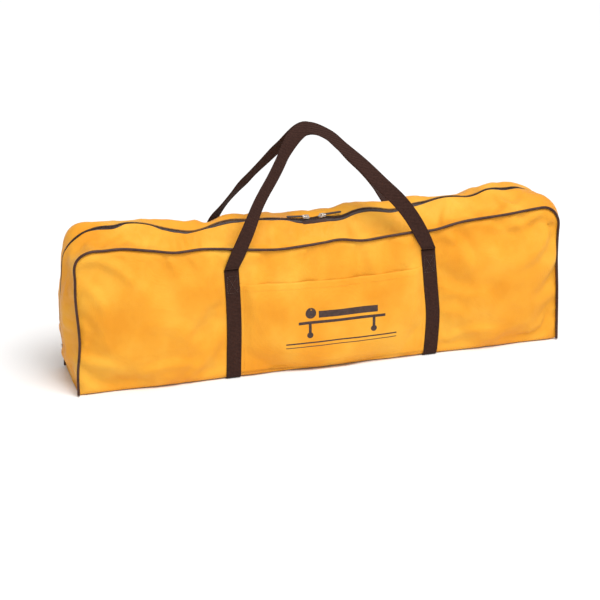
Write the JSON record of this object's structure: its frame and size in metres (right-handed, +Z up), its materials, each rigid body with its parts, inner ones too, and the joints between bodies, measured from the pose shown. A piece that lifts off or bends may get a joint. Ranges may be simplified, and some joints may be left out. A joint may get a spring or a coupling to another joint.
{
  "type": "rescue stretcher in carry bag",
  "caption": "Long zipped carry bag with piped seams, a front pocket and webbing loop handles, holding a folded slatted rescue stretcher.",
  "frame": {"origin": "middle of the bag's base, on the ground", "axes": "+X along the bag's length, -Y out of the front face with the pocket, +Z up"},
  "size_m": [0.8972, 0.155, 0.4178],
  "materials": {
    "coated_cloth": "satin",
    "piping": "satin",
    "webbing": "matte",
    "thread": "matte",
    "zip_cloth": "matte",
    "zip_coil": "satin",
    "bright_metal": "satin",
    "pull_moulding": "satin",
    "stretcher_cloth": "matte",
    "slat_wood": "matte",
    "roll_pad": "matte",
    "black_webbing": "matte",
    "green_webbing": "matte",
    "yellow_webbing": "matte",
    "red_webbing": "matte",
    "buckle_plastic": "satin"
  },
  "bodies": {
    "bag": {"front_panel": "coated_cloth", "back_panel": "coated_cloth", "base_panel": "coated_cloth", "gusset_top_front": "coated_cloth", "gusset_top_back": "coated_cloth", "gusset_left_front": "coated_cloth", "gusset_left_back": "coated_cloth", "gusset_right_front": "coated_cloth", "gusset_right_back": "coated_cloth", "end_panel_left": "coated_cloth", "end_panel_right": "coated_cloth", "piping_front": "piping", "piping_back": "piping", "pocket_cloth": "coated_cloth", "strap_left": "webbing", "strap_right": "webbing", "strap_stitching": "thread", "zip_end_tape_left": "zip_cloth", "zip_end_tape_right": "zip_cloth", "zip_end_teeth_left": "zip_coil", "zip_end_teeth_right": "zip_coil", "zip_stops": "bright_metal", "stretcher_back": "stretcher_cloth", "stretcher_slats": "slat_wood", "stretcher_wing_left": "stretcher_cloth", "stretcher_wing_right": "stretcher_cloth", "stretcher_head_flaps": "stretcher_cloth", "stretcher_neck_roll": "roll_pad", "stretcher_lift_loops": "black_webbing", "chest_strap_upper": "green_webbing", "chest_strap_middle": "yellow_webbing", "chest_strap_lower": "red_webbing", "leg_straps": "black_webbing", "strap_buckles": "buckle_plastic"},
    "handle_front": {"handle_front": "webbing"},
    "handle_back": {"handle_back": "webbing"},
    "mouth_front": {"zip_tape_front": "zip_cloth", "zip_teeth_front": "zip_coil"},
    "mouth_back": {"zip_tape_back": "zip_cloth", "zip_teeth_back": "zip_coil"},
    "slider_left": {"slider_left": "bright_metal"},
    "slider_right": {"slider_right": "bright_metal"},
    "pull_left": {"pull_link_left": "bright_metal", "pull_tab_left": "pull_moulding"},
    "pull_right": {"pull_link_right": "bright_metal", "pull_tab_right": "pull_moulding"}
  },
  "joints": [
    {"name": "handle_front_swing", "type": "hinge", "parent": "bag", "child": "handle_front", "pos_m": [0, -0.0745, 0.1998], "axis": [1, 0, 0], "range_deg": [0, 155]},
    {"name": "handle_back_swing", "type": "hinge", "parent": "bag", "child": "handle_back", "pos_m": [0, 0.0745, 0.1998], "axis": [-1, 0, 0], "range_deg": [0, 155]},
    {"name": "zip_slide_left", "type": "slide", "parent": "bag", "child": "slider_left", "axis": [-0.9982, 0, 0.0593], "range_m": [0, 0.35]},
    {"name": "zip_slide_right", "type": "slide", "parent": "bag", "child": "slider_right", "axis": [0.9982, 0, 0.0593], "range_m": [0, 0.35]},
    {"name": "mouth_front_open", "type": "slide", "parent": "bag", "child": "mouth_front", "axis": [0, -1, 0], "range_m": [0, 0.048], "deforming": ["gusset_top_front"]},
    {"name": "mouth_back_open", "type": "slide", "parent": "bag", "child": "mouth_back", "axis": [0, 1, 0], "range_m": [0, 0.048], "deforming": ["gusset_top_back"]},
    {"name": "pull_left_swing", "type": "hinge", "parent": "slider_left", "child": "pull_left", "pos_m": [-0.01368, 0, 0.25422], "axis": [0, 1, 0], "range_deg": [0, 100]},
    {"name": "pull_right_swing", "type": "hinge", "parent": "slider_right", "child": "pull_right", "pos_m": [0.01368, 0, 0.25422], "axis": [0, -1, 0], "range_deg": [0, 100]}
  ],
  "couplings": [
    {"joint": "zip_slide_right", "follows": "zip_slide_left", "ratio": 1},
    {"joint": "mouth_front_open", "follows": "zip_slide_left", "ratio": 0.137},
    {"joint": "mouth_back_open", "follows": "zip_slide_left", "ratio": 0.137}
  ]
}
